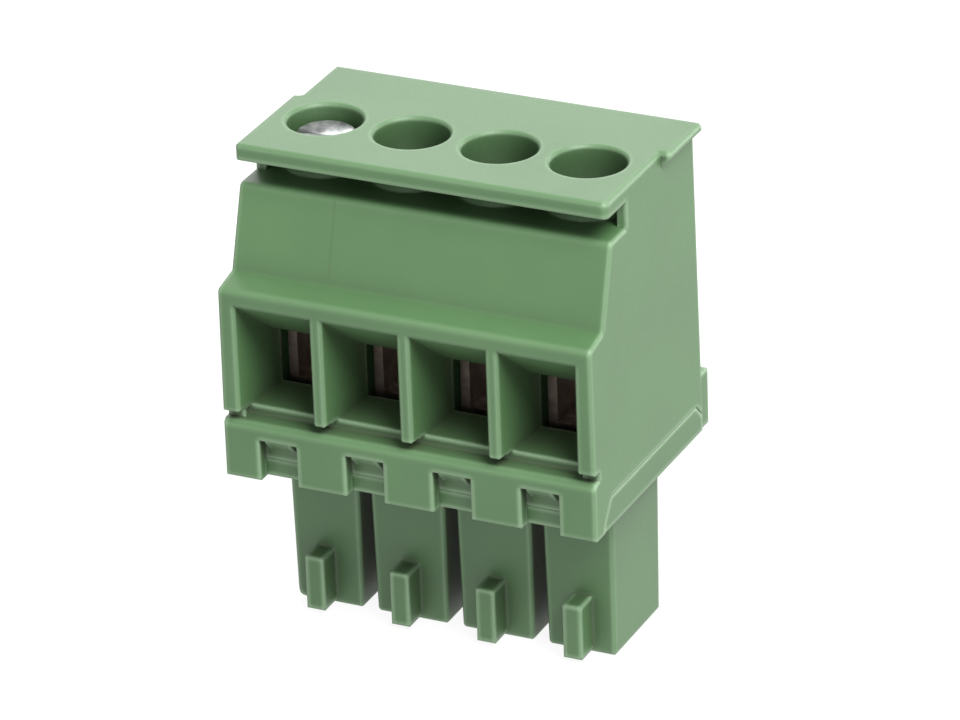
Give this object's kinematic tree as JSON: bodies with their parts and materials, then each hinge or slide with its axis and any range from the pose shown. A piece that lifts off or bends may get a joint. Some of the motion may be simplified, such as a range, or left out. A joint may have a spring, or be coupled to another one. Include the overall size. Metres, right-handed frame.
{
  "type": "terminal block",
  "caption": "Pluggable screw terminal block with square wire entries at the front, screws under round wells on top and separate contact fingers below.",
  "frame": {"origin": "middle of the bounding box at its base, where the contact fingers end", "axes": "+X along the row of poles to the right seen from the wire side, +Y from the wire side to the back, +Z from the contact fingers up to the screw wells"},
  "size_m": [0.0164, 0.0114, 0.0208],
  "materials": {
    "housing_plastic": "fine moulded satin",
    "carrier_plastic": "fine moulded satin",
    "sleeve_metal": "nickel plated brass",
    "contact_metal": "tin plated bronze",
    "screw_steel": "zinc plated steel"
  },
  "bodies": {
    "block": {"housing": "housing_plastic", "carrier": "carrier_plastic", "contact_1": "contact_metal", "contact_2": "contact_metal", "contact_3": "contact_metal", "contact_4": "contact_metal"},
    "screw_1": {"screw_1": "screw_steel"},
    "sleeve_1": {"sleeve_1": "sleeve_metal"},
    "screw_2": {"screw_2": "screw_steel"},
    "sleeve_2": {"sleeve_2": "sleeve_metal"},
    "screw_3": {"screw_3": "screw_steel"},
    "sleeve_3": {"sleeve_3": "sleeve_metal"},
    "screw_4": {"screw_4": "screw_steel"},
    "sleeve_4": {"sleeve_4": "sleeve_metal"}
  },
  "joints": [
    {"name": "screw_1_turn", "type": "hinge", "parent": "block", "child": "screw_1", "pos_m": [-0.00587, -0.00028, 0.0175], "axis": [0, 0, -1], "range_deg": [0, 1800]},
    {"name": "sleeve_1_rise", "type": "slide", "parent": "block", "child": "sleeve_1", "axis": [0, 0, 1], "range_m": [0, 0.002]},
    {"name": "screw_2_turn", "type": "hinge", "parent": "block", "child": "screw_2", "pos_m": [-0.00205, -0.00028, 0.0175], "axis": [0, 0, -1], "range_deg": [0, 1800]},
    {"name": "sleeve_2_rise", "type": "slide", "parent": "block", "child": "sleeve_2", "axis": [0, 0, 1], "range_m": [0, 0.002]},
    {"name": "screw_3_turn", "type": "hinge", "parent": "block", "child": "screw_3", "pos_m": [0.00176, -0.00028, 0.0175], "axis": [0, 0, -1], "range_deg": [0, 1800]},
    {"name": "sleeve_3_rise", "type": "slide", "parent": "block", "child": "sleeve_3", "axis": [0, 0, 1], "range_m": [0, 0.002]},
    {"name": "screw_4_turn", "type": "hinge", "parent": "block", "child": "screw_4", "pos_m": [0.00556, -0.00028, 0.0175], "axis": [0, 0, -1], "range_deg": [0, 1800]},
    {"name": "sleeve_4_rise", "type": "slide", "parent": "block", "child": "sleeve_4", "axis": [0, 0, 1], "range_m": [0, 0.002]}
  ],
  "couplings": [
    {"joint": "screw_1_turn", "follows": "sleeve_1_rise", "rad_per_m": 15708},
    {"joint": "screw_2_turn", "follows": "sleeve_2_rise", "rad_per_m": 15708},
    {"joint": "screw_3_turn", "follows": "sleeve_3_rise", "rad_per_m": 15708},
    {"joint": "screw_4_turn", "follows": "sleeve_4_rise", "rad_per_m": 15708}
  ]
}
